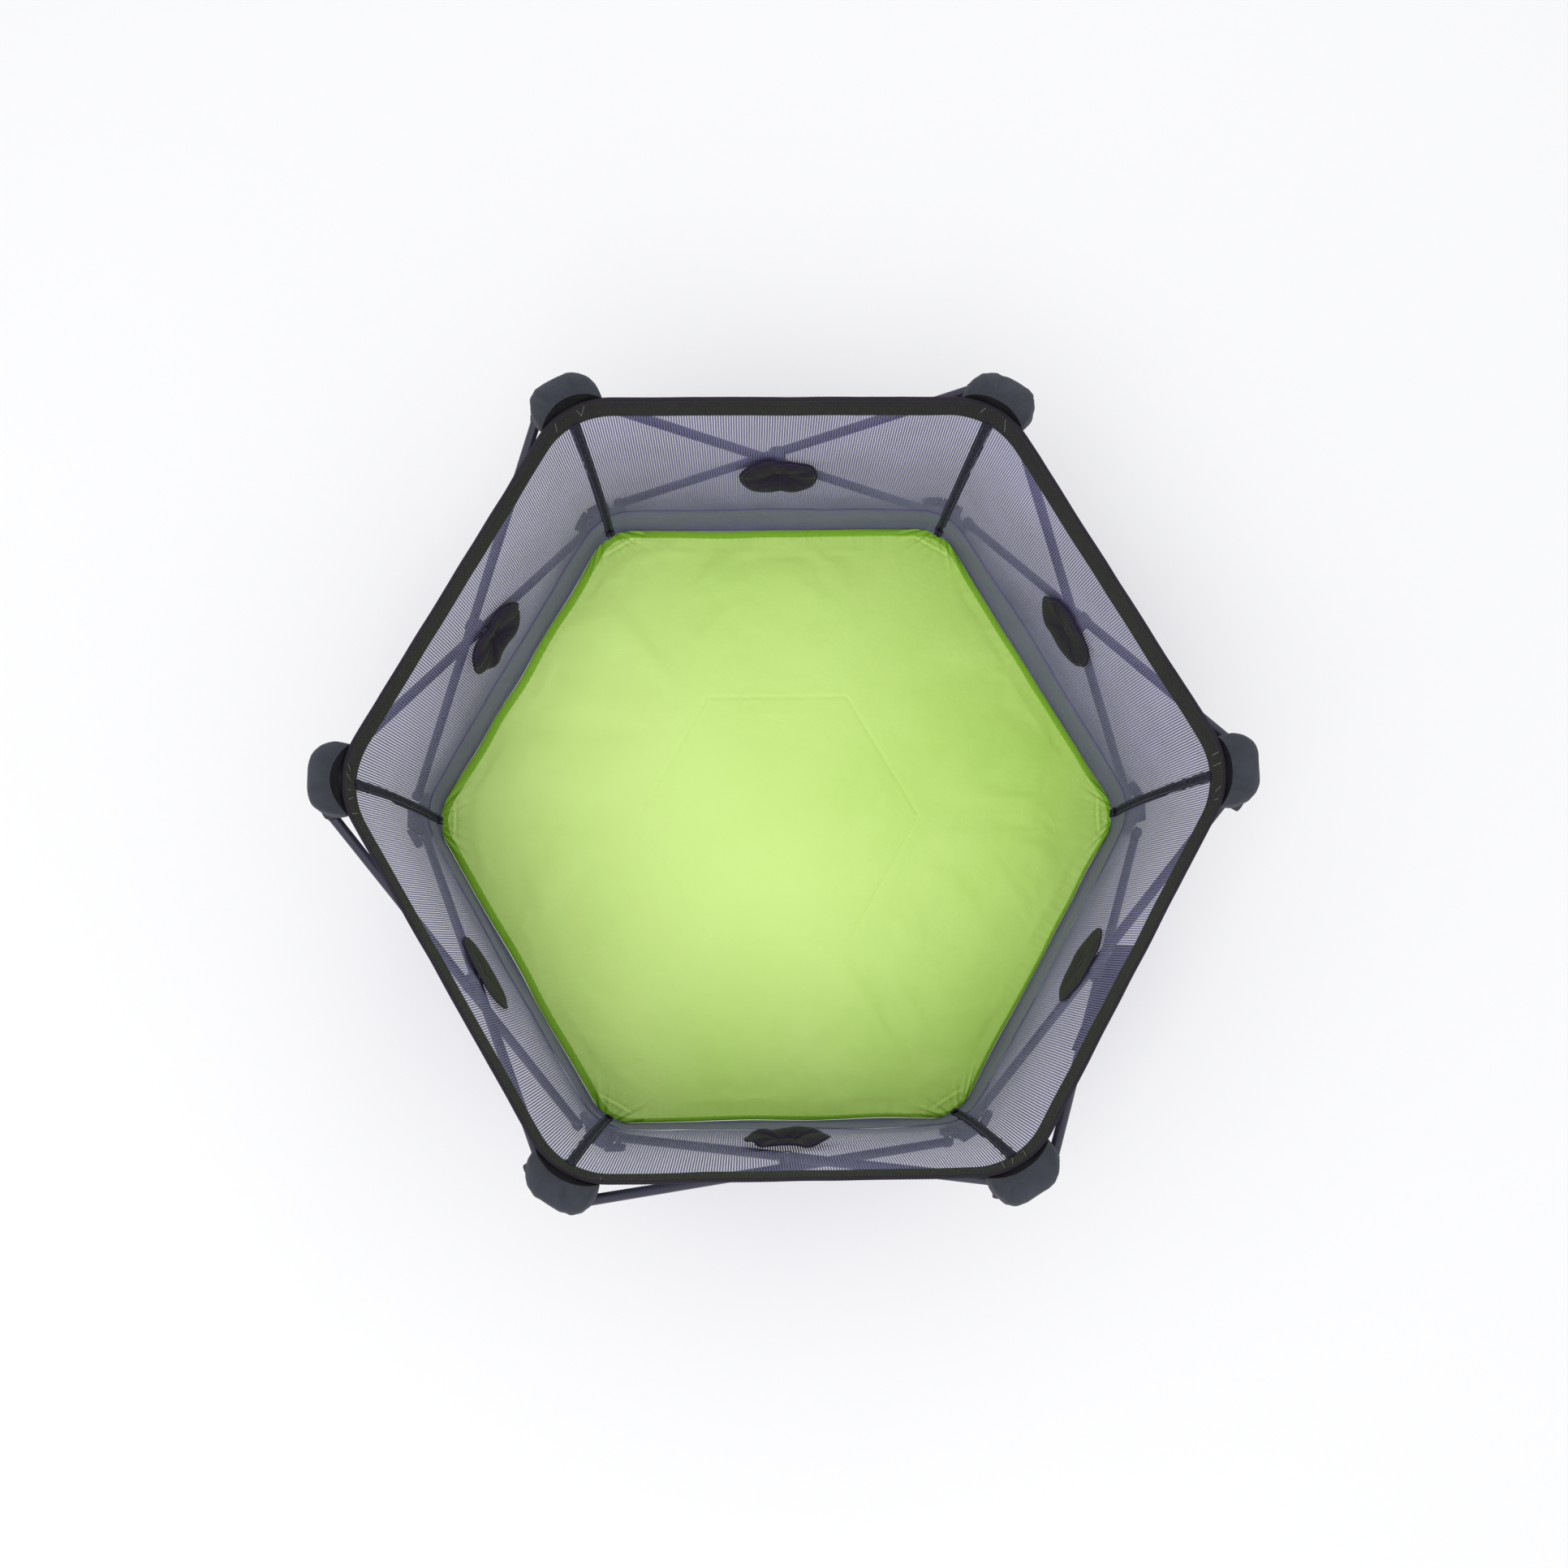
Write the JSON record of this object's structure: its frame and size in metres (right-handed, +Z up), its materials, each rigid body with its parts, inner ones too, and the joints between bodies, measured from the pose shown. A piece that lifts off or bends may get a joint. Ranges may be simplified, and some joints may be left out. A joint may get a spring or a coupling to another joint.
{
  "type": "playpen",
  "caption": "Free-standing hexagonal folding playpen: scissor-bar frame with corner brackets, mesh sides with a webbing rim, and a padded floor.",
  "frame": {"origin": "centre of the pen's footprint, on the floor", "axes": "+X out through the first corner, +Y towards the side between the second and third corners, +Z up"},
  "size_m": [1.224, 1.088, 0.58],
  "materials": {
    "bar": "dark powder coat",
    "bracket": "moulded, fine texture",
    "pin": "zinc plated",
    "foot": "matt",
    "mesh": "knitted netting",
    "mat": "satin nylon",
    "cover": "woven polyester",
    "patch": "coated nylon",
    "webbing": "ribbed webbing"
  },
  "bodies": {
    "lower_corner_1": {"lower_bracket_1": "bracket", "foot_1": "foot"},
    "upper_corner_1": {"upper_bracket_1": "bracket", "corner_cover_1": "cover", "mesh_side_1": "mesh"},
    "inner_bar_1": {"inner_bar_1": "bar", "centre_pin_1": "pin", "centre_patch_1": "patch"},
    "outer_bar_1": {"outer_bar_1": "bar"},
    "floor_1": {"floor_pad_1": "mat"},
    "lower_corner_2": {"lower_bracket_2": "bracket", "foot_2": "foot"},
    "upper_corner_2": {"upper_bracket_2": "bracket", "corner_cover_2": "cover", "mesh_side_2": "mesh"},
    "inner_bar_2": {"inner_bar_2": "bar", "centre_pin_2": "pin", "centre_patch_2": "patch"},
    "outer_bar_2": {"outer_bar_2": "bar"},
    "floor_2": {"floor_pad_2": "mat"},
    "lower_corner_3": {"lower_bracket_3": "bracket", "foot_3": "foot"},
    "upper_corner_3": {"upper_bracket_3": "bracket", "corner_cover_3": "cover", "mesh_side_3": "mesh"},
    "inner_bar_3": {"inner_bar_3": "bar", "centre_pin_3": "pin", "centre_patch_3": "patch"},
    "outer_bar_3": {"outer_bar_3": "bar"},
    "floor_3": {"floor_pad_3": "mat"},
    "lower_corner_4": {"lower_bracket_4": "bracket", "foot_4": "foot"},
    "upper_corner_4": {"upper_bracket_4": "bracket", "corner_cover_4": "cover", "mesh_side_4": "mesh"},
    "inner_bar_4": {"inner_bar_4": "bar", "centre_pin_4": "pin", "centre_patch_4": "patch"},
    "outer_bar_4": {"outer_bar_4": "bar"},
    "floor_4": {"floor_pad_4": "mat"},
    "lower_corner_5": {"lower_bracket_5": "bracket", "foot_5": "foot"},
    "upper_corner_5": {"upper_bracket_5": "bracket", "corner_cover_5": "cover", "mesh_side_5": "mesh"},
    "inner_bar_5": {"inner_bar_5": "bar", "centre_pin_5": "pin", "centre_patch_5": "patch"},
    "outer_bar_5": {"outer_bar_5": "bar"},
    "floor_5": {"floor_pad_5": "mat"},
    "lower_corner_6": {"lower_bracket_6": "bracket", "foot_6": "foot"},
    "upper_corner_6": {"upper_bracket_6": "bracket", "corner_cover_6": "cover", "mesh_side_6": "mesh"},
    "inner_bar_6": {"inner_bar_6": "bar", "centre_pin_6": "pin", "centre_patch_6": "patch"},
    "outer_bar_6": {"outer_bar_6": "bar"},
    "floor_6": {"floor_pad_6": "mat"}
  },
  "joints": [
    {"name": "fold", "type": "hinge", "parent": "lower_corner_1", "child": "inner_bar_1", "pos_m": [0.58212, 0.03074, 0.056], "axis": [0.866, 0.5, 0], "range_deg": [0, 44.5], "deforming": ["mesh_side_1", "mesh_side_2", "mesh_side_3", "mesh_side_4", "mesh_side_5", "mesh_side_6", "floor_pad_1", "floor_pad_2", "floor_pad_3", "floor_pad_4", "floor_pad_5", "floor_pad_6", "centre_patch_1", "centre_patch_2", "centre_patch_3", "centre_patch_4", "centre_patch_5", "centre_patch_6"]},
    {"name": "crossing_1", "type": "hinge", "parent": "inner_bar_1", "child": "outer_bar_1", "pos_m": [0.45665, 0.26365, 0.291], "axis": [-0.866, -0.5, 0], "range_deg": [0, 89]},
    {"name": "lower_corner_hinge_2", "type": "hinge", "parent": "outer_bar_1", "child": "lower_corner_2", "pos_m": [0.33119, 0.49656, 0.056], "axis": [0.866, 0.5, 0], "range_deg": [0, 44.5]},
    {"name": "inner_bar_foot_2", "type": "hinge", "parent": "lower_corner_2", "child": "inner_bar_2", "pos_m": [0.26444, 0.5195, 0.056], "axis": [0, 1, 0], "range_deg": [0, 44.5]},
    {"name": "crossing_2", "type": "hinge", "parent": "inner_bar_2", "child": "outer_bar_2", "pos_m": [0, 0.5273, 0.291], "axis": [0, -1, 0], "range_deg": [0, 89]},
    {"name": "lower_corner_hinge_3", "type": "hinge", "parent": "outer_bar_2", "child": "lower_corner_3", "pos_m": [-0.26444, 0.5351, 0.056], "axis": [0, 1, 0], "range_deg": [0, 44.5]},
    {"name": "inner_bar_foot_3", "type": "hinge", "parent": "lower_corner_3", "child": "inner_bar_3", "pos_m": [-0.31768, 0.48876, 0.056], "axis": [-0.866, 0.5, 0], "range_deg": [0, 44.5]},
    {"name": "crossing_3", "type": "hinge", "parent": "inner_bar_3", "child": "outer_bar_3", "pos_m": [-0.45665, 0.26365, 0.291], "axis": [0.866, -0.5, 0], "range_deg": [0, 89]},
    {"name": "lower_corner_hinge_4", "type": "hinge", "parent": "outer_bar_3", "child": "lower_corner_4", "pos_m": [-0.59563, 0.03854, 0.056], "axis": [-0.866, 0.5, 0], "range_deg": [0, 44.5]},
    {"name": "inner_bar_foot_4", "type": "hinge", "parent": "lower_corner_4", "child": "inner_bar_4", "pos_m": [-0.58212, -0.03074, 0.056], "axis": [-0.866, -0.5, 0], "range_deg": [0, 44.5]},
    {"name": "crossing_4", "type": "hinge", "parent": "inner_bar_4", "child": "outer_bar_4", "pos_m": [-0.45665, -0.26365, 0.291], "axis": [0.866, 0.5, 0], "range_deg": [0, 89]},
    {"name": "outer_bar_foot_6", "type": "hinge", "parent": "lower_corner_1", "child": "outer_bar_6", "pos_m": [0.59563, -0.03854, 0.056], "axis": [-0.866, 0.5, 0], "range_deg": [0, 44.5]},
    {"name": "crossing_6", "type": "hinge", "parent": "outer_bar_6", "child": "inner_bar_6", "pos_m": [0.45665, -0.26365, 0.291], "axis": [0.866, -0.5, 0], "range_deg": [0, 89]},
    {"name": "lower_corner_hinge_6", "type": "hinge", "parent": "inner_bar_6", "child": "lower_corner_6", "pos_m": [0.31768, -0.48876, 0.056], "axis": [-0.866, 0.5, 0], "range_deg": [0, 44.5]},
    {"name": "outer_bar_foot_5", "type": "hinge", "parent": "lower_corner_6", "child": "outer_bar_5", "pos_m": [0.26444, -0.5351, 0.056], "axis": [0, 1, 0], "range_deg": [0, 44.5]},
    {"name": "crossing_5", "type": "hinge", "parent": "outer_bar_5", "child": "inner_bar_5", "pos_m": [0, -0.5273, 0.291], "axis": [0, -1, 0], "range_deg": [0, 89]},
    {"name": "lower_corner_hinge_5", "type": "hinge", "parent": "inner_bar_5", "child": "lower_corner_5", "pos_m": [-0.26444, -0.5195, 0.056], "axis": [0, 1, 0], "range_deg": [0, 44.5]},
    {"name": "upper_corner_hinge_1", "type": "hinge", "parent": "outer_bar_1", "child": "upper_corner_1", "pos_m": [0.59563, 0.03854, 0.526], "axis": [0.866, 0.5, 0], "range_deg": [0, 44.5]},
    {"name": "upper_corner_hinge_2", "type": "hinge", "parent": "outer_bar_2", "child": "upper_corner_2", "pos_m": [0.26444, 0.5351, 0.526], "axis": [0, 1, 0], "range_deg": [0, 44.5]},
    {"name": "upper_corner_hinge_3", "type": "hinge", "parent": "outer_bar_3", "child": "upper_corner_3", "pos_m": [-0.33119, 0.49656, 0.526], "axis": [-0.866, 0.5, 0], "range_deg": [0, 44.5]},
    {"name": "upper_corner_hinge_4", "type": "hinge", "parent": "outer_bar_4", "child": "upper_corner_4", "pos_m": [-0.59563, -0.03854, 0.526], "axis": [-0.866, -0.5, 0], "range_deg": [0, 44.5]},
    {"name": "upper_corner_hinge_5", "type": "hinge", "parent": "outer_bar_5", "child": "upper_corner_5", "pos_m": [-0.26444, -0.5351, 0.526], "axis": [0, -1, 0], "range_deg": [0, 44.5]},
    {"name": "upper_corner_hinge_6", "type": "hinge", "parent": "outer_bar_6", "child": "upper_corner_6", "pos_m": [0.33119, -0.49656, 0.526], "axis": [0.866, -0.5, 0], "range_deg": [0, 44.5]},
    {"name": "floor_lift_1", "type": "hinge", "parent": "upper_corner_1", "child": "floor_1", "pos_m": [0.43474, 0.251, 0.007], "axis": [-0.5, 0.866, 0], "range_deg": [0, 84.55]},
    {"name": "floor_lift_2", "type": "hinge", "parent": "upper_corner_2", "child": "floor_2", "pos_m": [0, 0.502, 0.007], "axis": [-1, 0, 0], "range_deg": [0, 84.55]},
    {"name": "floor_lift_3", "type": "hinge", "parent": "upper_corner_3", "child": "floor_3", "pos_m": [-0.43474, 0.251, 0.007], "axis": [-0.5, -0.866, 0], "range_deg": [0, 84.55]},
    {"name": "floor_lift_4", "type": "hinge", "parent": "upper_corner_4", "child": "floor_4", "pos_m": [-0.43474, -0.251, 0.007], "axis": [0.5, -0.866, 0], "range_deg": [0, 84.55]},
    {"name": "floor_lift_5", "type": "hinge", "parent": "upper_corner_5", "child": "floor_5", "pos_m": [0, -0.502, 0.007], "axis": [1, 0, 0], "range_deg": [0, 84.55]},
    {"name": "floor_lift_6", "type": "hinge", "parent": "upper_corner_6", "child": "floor_6", "pos_m": [0.43474, -0.251, 0.007], "axis": [0.5, 0.866, 0], "range_deg": [0, 84.55]}
  ],
  "couplings": [
    {"joint": "crossing_1", "follows": "fold", "ratio": 2},
    {"joint": "lower_corner_hinge_2", "follows": "fold", "ratio": 1},
    {"joint": "inner_bar_foot_2", "follows": "fold", "ratio": 1},
    {"joint": "crossing_2", "follows": "fold", "ratio": 2},
    {"joint": "lower_corner_hinge_3", "follows": "fold", "ratio": 1},
    {"joint": "inner_bar_foot_3", "follows": "fold", "ratio": 1},
    {"joint": "crossing_3", "follows": "fold", "ratio": 2},
    {"joint": "lower_corner_hinge_4", "follows": "fold", "ratio": 1},
    {"joint": "inner_bar_foot_4", "follows": "fold", "ratio": 1},
    {"joint": "crossing_4", "follows": "fold", "ratio": 2},
    {"joint": "outer_bar_foot_6", "follows": "fold", "ratio": 1},
    {"joint": "crossing_6", "follows": "fold", "ratio": 2},
    {"joint": "lower_corner_hinge_6", "follows": "fold", "ratio": 1},
    {"joint": "outer_bar_foot_5", "follows": "fold", "ratio": 1},
    {"joint": "crossing_5", "follows": "fold", "ratio": 2},
    {"joint": "lower_corner_hinge_5", "follows": "fold", "ratio": 1},
    {"joint": "upper_corner_hinge_1", "follows": "fold", "ratio": 1},
    {"joint": "upper_corner_hinge_2", "follows": "fold", "ratio": 1},
    {"joint": "upper_corner_hinge_3", "follows": "fold", "ratio": 1},
    {"joint": "upper_corner_hinge_4", "follows": "fold", "ratio": 1},
    {"joint": "upper_corner_hinge_5", "follows": "fold", "ratio": 1},
    {"joint": "upper_corner_hinge_6", "follows": "fold", "ratio": 1},
    {"joint": "floor_lift_1", "follows": "fold", "ratio": 1.9},
    {"joint": "floor_lift_2", "follows": "fold", "ratio": 1.9},
    {"joint": "floor_lift_3", "follows": "fold", "ratio": 1.9},
    {"joint": "floor_lift_4", "follows": "fold", "ratio": 1.9},
    {"joint": "floor_lift_5", "follows": "fold", "ratio": 1.9},
    {"joint": "floor_lift_6", "follows": "fold", "ratio": 1.9}
  ]
}
